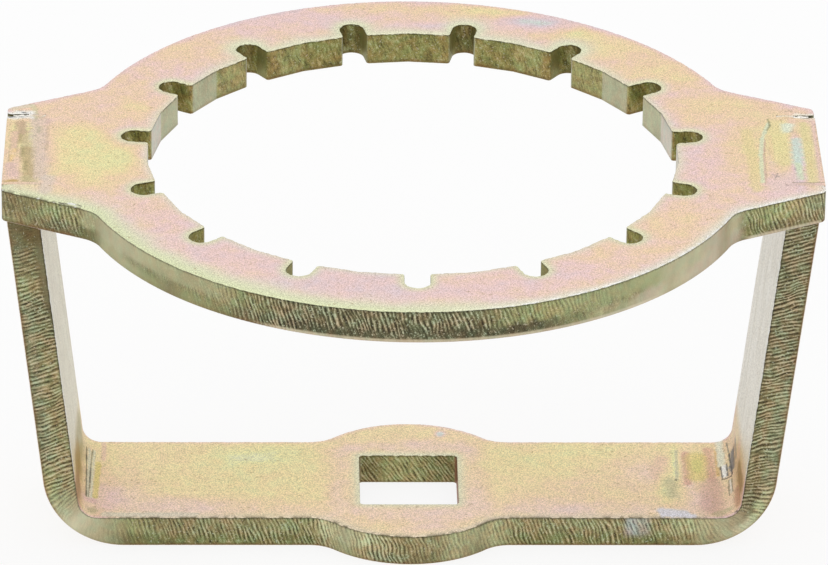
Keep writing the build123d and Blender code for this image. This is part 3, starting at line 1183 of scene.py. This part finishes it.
def bore_edge():
    """The bore. Its flats at the sides are smoother, and its walls turn paler up to silver as they face
    sideways, which is painted reflection. Rust-brown creeps out of the notches.
    """
    edge = Edge(bore_line(), seed=21, lean=plate_lean)
    facing_side = np.abs(edge.out[:, 0])
    edge.roughness = 0.95 - 0.65 * smooth_step(facing_side, 0.6, 0.85)
    edge.comb[:] = 0.12
    edge.bevel[:] = jagged(edge, 0.08, 0.3)
    edge.paint(gold, np.ones(len(edge.run)))
    # Painted reflection: paler gold, then grey, then silver as the wall turns to face sideways.
    edge.paint(pale_gold, smooth_step(facing_side, 0.4, 0.6))
    edge.paint(bore_reflection_grey, smooth_step(facing_side, 0.72, 0.76))
    edge.paint(bore_reflection_silver, 0.9 * smooth_step(facing_side, 0.93, 0.97))
    radius = np.hypot(*edge.points.T)
    turn = np.degrees(np.arctan2(edge.points[:, 1], edge.points[:, 0])) + 90
    off_notch = np.abs((turn + notch_pitch / 2) % notch_pitch - notch_pitch / 2)
    past_corner = np.radians(off_notch) * radius - notch_width / 2
    at_corner = near(np.maximum(past_corner, 0), 1.3) * (0.3 + 0.7 * wander(edge.run / 2.5, seed=27))
    edge.paint(rust, 0.55 * at_corner * (1 - smooth_step(facing_side, 0.7, 0.8)))
    in_notch = radius > bore_corner_radius + 0.15
    edge.paint(notch_brown, 1.0 * in_notch)
    edge.paint(notch_gold, 0.7 * (in_notch & (past_corner > -0.25)))
    return edge, in_notch


def plate():
    outer, in_slot = plate_edge()
    bore, in_notch = bore_edge()
    low, high = (-half_span, -ring_radius), (half_span, ring_radius)
    slab = Slab((outer, bore), plate_thickness, spots(low, high, 5, ear_strokes), spots(low, high, 5, ()))
    points = slab.points + (0, 0, plate_underside)
    top = points[:, 2] > overall_height - 1
    coat = Coat(points[:, 0], np.where(top, points[:, 1], -points[:, 1]), peach + 0.05)
    coat.tint(plate_patches)
    outside, within, from_notch = (
        nearest_edge(points[:, :2], (line,))
        for line in (outer.points[~in_slot], bore.points, bore.points[in_notch]))
    in_front = smooth_step(-coat.y, 2, 14)
    behind = smooth_step(coat.y, 18, 30)
    leftward = 1 - smooth_step(coat.x, -8, 22)
    uneven = 0.75 + 0.5 * wander_over(coat.x / 3 + 99, coat.y / 3 + 99, seed=81)

    # Lilac rims, and a pale band along the front
    coat.shift(lilac - 0.04, 0.6 * near(outside, 0.7) * (1 - in_front))
    coat.shift(lilac - 0.06, 0.4 * near(within, 1.6))
    front_band = in_front * near(outside, (1.1 + 1.1 * leftward) * uneven)
    coat.stain("#E0E2D2", 0.8 * front_band)
    coat.stain("#D9DFB4", 0.9 * leftward * front_band)

    # Dark flecks along the front rim, with painted highlight flecks among them on the left ear and a broken
    # painted highlight along the right front rim, then the notches' and the bore's own rims
    flecks = wander_over(coat.x / 0.5 + 150, coat.y / 0.5 + 150, seed=84)
    at_rim = near(outside, 0.2) * in_front
    on_left_ear = at_rim * (coat.x < -42)
    right_rim_highlight = at_rim * smooth_step(coat.x, 6, 14)
    coat.stain("#6E6A50", 0.9 * on_left_ear * smooth_step(flecks, 0.3, 0.45))
    coat.stain("#EEEEEA", 0.9 * on_left_ear * smooth_step(flecks, 0.72, 0.8))
    coat.stain("#F1F2F1", 0.85 * right_rim_highlight * smooth_step(flecks, 0.25, 0.5))
    coat.stain("#D9D6A6", 0.85 * top * near(from_notch, 0.75))
    coat.stain("#DDE0C2", (0.6 + 0.25 * behind) * near(within, (0.8 + 0.8 * behind) * uneven))
    coat.stroke(ear_strokes, top)
    points[:, 2] -= coat.depth
    piece = make_piece("ring_plate_dressed", points, slab.faces, (face_skin, cut_skin),
                       slab.slots, slab.smooth, "ring_plate")
    slab.give(piece)
    coat.give(piece)


# Yoke

def strap_edge():
    edge = Edge(mirrored_round(strap_quarter()), seed=31, lean=strap_lean)
    edge.lay(strap_wall)
    u = np.abs(edge.points[:, 0])
    at_top = u > shoulder_u + 0.3
    edge.hidden = at_top
    edge.roughness[at_top] = 0
    edge.bevel[:] = np.where(at_top, sharp_edge_radius, jagged(edge, 0.08, 0.2))
    edge.low_bevel[at_top] = sharp_edge_radius
    edge.ground = u > strap_half_length - 0.01
    edge.pitch = strap_striation_pitch
    return edge


def hole_edge():
    """The drive hole: brown at its left end, green at its right, with copper and grey side walls."""
    edge = Edge(hole_line(), seed=41, lean=2.2 * strap_lean)
    u, v = edge.points.T
    edge.paint(pale_gold, np.full(len(edge.run), 0.7))
    edge.paint(cocoa, 0.6 * (1 - smooth_step(u, -4.5, -2.5)))
    edge.paint(fern, 0.6 * smooth_step(u, 1, 4))
    at_side = np.abs(u) > drive_square / 2 - 0.15
    edge.paint("#B87E6A", 0.9 * (at_side & (u > 0)))
    edge.paint("#B9A98C", 0.8 * (at_side & (u < 0)))
    edge.roughness[at_side] = 0.3
    edge.comb[:] = 0.8
    edge.bevel[:] = np.where(v > 0, jagged(edge, 0.1, 0.4), 0.12)
    return edge


def strap():
    outer = strap_edge()
    hole = hole_edge()
    low, high = (-strap_half_length, -boss_radius), (strap_half_length, boss_radius)
    slab = Slab((outer, hole), strap_thickness, spots(low, high, 6, strap_strokes), spots(low, high, 6, ()))
    flat = slab.points
    inner_side = flat[:, 2] > strap_thickness / 2
    coat = Coat(flat[:, 0], np.where(inner_side, flat[:, 1], -flat[:, 1]), straw + 0.06)
    coat.tint(strap_patches)
    rim, within = (nearest_edge(flat[:, :2], (line,)) for line in (outer.points, hole.points))
    from_middle = np.abs(coat.x)
    on_bar = 1 - smooth_step(from_middle, bar_half_length - 1, bar_half_length + 4)
    on_front = (coat.y < -4) * on_bar

    # Pink rims and a pale ring round the hole
    coat.shift(pink + 0.06, 0.6 * near(rim, 0.45))
    coat.shift(pink - 0.04, 0.8 * near(within - 2.2, 1.8))
    coat.stain("#D8DAC2", 0.95 * near(within, 0.9))

    # Lighter and warmer over the bar, painted light against the shade the ring casts on it, with a pale band
    # and dark flecks along its front
    coat.stain("#FBF0C2", 0.2 * on_bar)
    uneven = 0.6 + 0.8 * wander_over(coat.x / 1.5 + 99, coat.y / 1.5 + 99, seed=82)
    coat.stain("#DAD2B6", 0.7 * near(rim, uneven) * on_front)
    flecks = wander_over(coat.x / 0.6 + 150, coat.y / 0.6 + 150, seed=84)
    coat.stain("#6A6448", 0.9 * near(rim, 0.2) * on_front * smooth_step(flecks, 0.4, 0.55))

    # Legs paler, and paler still on the right leg's inner face, which is painted light, with grey rolling
    # streaks and a painted highlight along the inner faces' front rim
    leg_foot = bar_half_length + bend_length
    up_leg = smooth_step(from_middle, leg_foot - 1, leg_foot + 3) * np.where(inner_side, 1, 0.45)
    coat.stain("#E6E3D2", 0.88 * up_leg)
    # Painted light: the right leg's inner face is made paler than the left's.
    coat.stain("#F5F2EA", 0.8 * up_leg * (coat.x > 0) * inner_side)
    rolled = smooth_step(wander_over(coat.y / 0.5 + 50, coat.x / 5 + 50, seed=83), 0.35, 0.75)
    coat.stain("#B9B39A", 0.22 * up_leg * rolled)
    # Painted highlight along the front rim of the inner faces.
    coat.stain("#F3F3EE", 0.95 * up_leg * near(rim, 0.5) * (coat.y < 0) * inner_side)
    coat.stroke(strap_strokes, inner_side)
    flat[:, 2] -= coat.depth
    points = bent(flat)
    points[:, 2] = np.clip(points[:, 2], 0, overall_height)

    # The tabs' ends are dressed flush with the plate and carry its film.
    flush = points[:, 2] > overall_height - 0.05
    on_top = Coat(points[:, 0], points[:, 1], peach + 0.05)
    on_top.tint(plate_patches)
    on_top.stroke(ear_strokes, flush)
    coat.film[flush] = on_top.film[flush]
    coat.share[flush] = on_top.share[flush]
    coat.shade[flush] = on_top.shade[flush]
    piece = make_piece("yoke_dressed", points, slab.faces, (face_skin, cut_skin),
                       slab.slots, slab.smooth, "yoke")
    slab.give(piece)
    coat.give(piece)


# Welds

weld_stations = 110
weld_section_steps = 10
drip_length = 2.4
burr_section = ((1, 1), (-1, 1), (-1, 0.12), (-0.5, 0), (0.5, 0), (1, 0.12))


def skinned(rings):
    """Points and faces of a body through rings of points, with a face over each end."""
    size = len(rings[0])
    points = [point for ring in rings for point in ring]
    faces = [(row + i, row + (i + 1) % size, row + size + (i + 1) % size, row + size + i)
             for row in range(0, len(points) - size, size) for i in range(size)]
    faces.append(tuple(range(size))[::-1])
    faces.append(tuple(range(len(points) - size, len(points))))
    return points, faces


def bead(side):
    """Rippled bead in the inner corner under an ear, from the strap's front to its back."""
    corner_x = leg_inner_x(plate_underside)
    on_plate = np.array((corner_x - weld_leg_length, plate_underside))
    on_leg = np.array((leg_inner_x(plate_underside - weld_leg_length), plate_underside - weld_leg_length))
    out = unit(np.array((on_plate - on_leg)[::-1]) * (-1, 1))
    rings = []
    for station in range(weld_stations + 1):
        share = station / weld_stations
        y = -strap_half_width + 2 * strap_half_width * share
        end = min(1.0, min(share, 1 - share) * 18)
        ripple = 0.5 + 0.5 * math.sin(2 * math.pi * (y / 1.3 + 0.6 * float(wander(y / 3.1, seed=71))))
        ring = []
        for step in range(weld_section_steps + 1):
            part = step / weld_section_steps
            crown = 4 * part * (1 - part)
            rough = float(wander_over(y / 0.6, part * 5, seed=72))
            sunk = (1 - end) * 0.5 + 0.16 * (1 - ripple) * crown + 0.12 * (1 - rough) * crown
            spot = on_plate + (on_leg - on_plate) * part + out * (weld_crown * crown - sunk)
            ring.append((side * spot[0], y, min(spot[1], plate_underside)))
        rings.append([*ring, (side * corner_x, y, plate_underside)])
    return skinned(rings)


def drip(side):
    """Tail of weld metal that ran down the leg's inner corner at the bead's front end."""
    rings = []
    for row in range(drip_rows + 1):
        share = row / drip_rows
        height = plate_underside - 0.05 - drip_length * share
        radius = 0.6 * (1 - share) ** 0.8 + 0.08
        x = leg_inner_x(height) + 0.1 + 0.15 * float(wander(share * 4, seed=73))
        y = 0.2 - strap_half_width
        rings.append([(side * (x + radius * math.cos(a)), y + radius * math.sin(a), height)
                      for a in np.linspace(0, 2 * math.pi, drip_sides, endpoint=False)])
    return skinned(rings)


def burr(side):
    """Splash of weld metal that half fills the open end of the slot."""
    middle = (slot_half_width + tab_half_width) / 2
    clear = (slot_half_width - tab_half_width) / 2
    rings = []
    for row in range(burr_rows + 1):
        share = row / burr_rows
        x = half_span - back_gap_length - 0.1 + (back_gap_length - 0.7) * share
        swell = clear * (0.45 + 0.5 * float(wander(share * 7, seed=74 + side))) * (1 - share ** 6 * 0.8)
        y = middle + clear * 0.3 * (float(wander(share * 6, seed=77 + side)) - 0.3)
        top = overall_height - 0.02 - 0.12 * float(wander(share * 8, seed=79))
        rings.append([(side * x, y + swell * across, top - 0.9 * down) for across, down in burr_section])
    return skinned(rings)


def finely(ring, step):
    """A closed line with its sides cut into short ones. How many doesn't depend on the ring's height."""
    parts = []
    for (ax, ay), (bx, by) in zip(ring, ring[1:] + ring[:1]):
        count = max(1, round(abs(by - ay) / step))
        parts.extend((ax + (bx - ax) * i / count, ay + (by - ay) * i / count) for i in range(count))
    return parts


def fill(side):
    """Weld metal in the slot round the tab, dressed flush with the plate. The back gap stays open."""
    rings = []
    for height in (plate_underside, overall_height):
        outer, inner = leg_outer_x(height) - 0.01, leg_inner_x(height)
        gap_root = half_span - back_gap_length
        ring = [
            (slot_root_x, slot_half_width),
            (slot_root_x, -slot_half_width),
            (half_span, -slot_half_width),
            (half_span, tab_half_width),
            (outer, tab_half_width),
            (outer, -tab_half_width),
            (inner, -tab_half_width),
            (inner, tab_half_width),
            (gap_root, tab_half_width),
            (gap_root, slot_half_width),
        ]
        rings.append([(side * x, y, height) for x, y in finely(ring, 0.4)])
    return skinned(rings)


def weld(side, name, parts):
    points, faces, flat = [], [], []
    for made, rings, is_flat in parts:
        faces.extend(tuple(i + len(points) for i in ring) for ring in rings)
        flat.extend(is_flat or len(ring) > 4 for ring in rings)
        points.extend(made)
    points = np.array(points)
    if side < 0:
        faces = [ring[::-1] for ring in faces]
    piece = make_piece(name + "_dressed", points, faces, (face_skin,), [0] * len(faces), ~np.array(flat),
                       name)
    x, y, z = points.T
    coat = Coat(x, y, peach + 0.05)
    coat.tint(plate_patches)
    coat.stroke(ear_strokes, z > overall_height - 0.1)
    splashed = (y > tab_half_width + 0.02) & (y < slot_half_width - 0.02) & (z > overall_height - 1.1)
    ran_down = y < 0.01 - strap_half_width
    below = (z < overall_height - 0.1) & ~splashed & ~ran_down
    bare = ((splashed, "#F3F1EA", 0.9), (ran_down, "#E9D6C8", 0.85), (below, "#D5BBA6", 0.7))
    for there, shade, share in bare:
        coat.shade[there] = linear(shade)
        coat.share[there] = share
    coat.give(piece)


plate()
strap()
weld(-1, "left_weld", ((*bead(-1), False), (*drip(-1), False), (*burr(-1), False), (*fill(-1), True)))
weld(1, "right_weld", ((*bead(1), False), (*burr(1), False), (*fill(1), True)))


# Studio

camera_focal_length = 283.9
camera_sensor_width = 36.0
camera_distance = 874.3
camera_elevation = 28.073
camera_turn = -1.331
camera_roll = 0.697
aim_point = Vector((0.969, 25.433, 20.0))
floor_whiteness = 0.85
floor_reach = 3.0
room_light = 0.85
lamp_target = Vector((0, 0, 0.03))

# The floor lies just below the bar, so that the two don't share a plane.
floor_drop = 0.00005


def camera():
    elevation, turn, roll = (math.radians(a) for a in (camera_elevation, camera_turn, camera_roll))
    back = Vector((
        math.sin(turn) * math.cos(elevation),
        -math.cos(turn) * math.cos(elevation),
        math.sin(elevation),
    ))
    level = Vector((math.cos(turn), math.sin(turn), 0))
    upright = back.cross(level)
    right = level * math.cos(roll) + upright * math.sin(roll)
    up = upright * math.cos(roll) - level * math.sin(roll)
    seen = bpy.data.cameras.new("camera")
    seen.lens = camera_focal_length
    seen.sensor_width = camera_sensor_width
    seen.clip_end = 20
    holder = bpy.data.objects.new("camera", seen)
    holder.matrix_world = Matrix((
        (right.x, up.x, back.x, 0),
        (right.y, up.y, back.y, 0),
        (right.z, up.z, back.z, 0),
        (0, 0, 0, 1),
    ))
    holder.location = (aim_point + back * camera_distance) * MM
    bpy.context.scene.collection.objects.link(holder)
    bpy.context.scene.camera = holder


def area_lamp(name, place, width, height, power):
    """A softbox that points at the wrench, in metres and watts."""
    lamp = bpy.data.lights.new(name, "AREA")
    lamp.shape = "RECTANGLE"
    lamp.size, lamp.size_y = width, height
    lamp.energy = power
    holder = bpy.data.objects.new(name, lamp)
    holder.location = place
    holder.rotation_mode = "QUATERNION"
    holder.rotation_quaternion = (lamp_target - Vector(place)).to_track_quat("-Z", "Y")
    bpy.context.scene.collection.objects.link(holder)


def seen_plainly(tree):
    """1 for rays that show the background itself: the camera's, and those off metal or through glass."""
    path = node(tree, "ShaderNodeLightPath")
    either = node(tree, "ShaderNodeMath", {"operation": "MAXIMUM"},
                  i0=path.outputs["Is Camera Ray"], i1=path.outputs["Is Glossy Ray"])
    return node(tree, "ShaderNodeMath", {"operation": "MAXIMUM"},
                i0=either.outputs[0], i1=path.outputs["Is Transmission Ray"]).outputs[0]


def floor():
    """White paper. Most of what the camera sees of it is plain white, so the shadow stays faint."""
    mesh = bpy.data.meshes.new("floor")
    across = ((-1, -1), (1, -1), (1, 1), (-1, 1))
    corners = [(x * floor_reach, y * floor_reach, -floor_drop) for x, y in across]
    mesh.from_pydata(corners, [], [(0, 1, 2, 3)])
    material, tree, skin = shaded("white paper floor")
    skin.inputs["Base Color"].default_value = colour("#F4F4F4")
    skin.inputs["Roughness"].default_value = 0.9
    glow = node(tree, "ShaderNodeEmission", Strength=1.0)
    share = node(tree, "ShaderNodeMath", multiply, i0=seen_plainly(tree), i1=floor_whiteness)
    mixed = node(tree, "ShaderNodeMixShader", i0=share.outputs[0], i1=skin.outputs[0], i2=glow.outputs[0])
    tree.links.new(mixed.outputs[0], tree.nodes["Material Output"].inputs["Surface"])
    mesh.materials.append(material)
    piece = bpy.data.objects.new("floor", mesh)
    bpy.context.scene.collection.objects.link(piece)


def world():
    made = bpy.data.worlds.new("soft studio")
    bpy.context.scene.world = made
    made.use_nodes = True
    tree = made.node_tree
    strength = node(tree, "ShaderNodeMix", {"data_type": "FLOAT"},
                    i0=seen_plainly(tree), i2=room_light, i3=1.0).outputs[0]
    back = tree.nodes["Background"]
    back.inputs["Color"].default_value = colour("#FFFFFF")
    tree.links.new(strength, back.inputs["Strength"])


camera()
floor()
world()
area_lamp("overhead softbox", place=(0.1, 0.3, 0.9), width=0.9, height=0.7, power=1.2)
area_lamp("left softbox", place=(-0.8, -0.3, 0.5), width=0.5, height=0.5, power=0.4)

bpy.context.scene.view_settings.view_transform = "Standard"

bpy.context.view_layer.update()
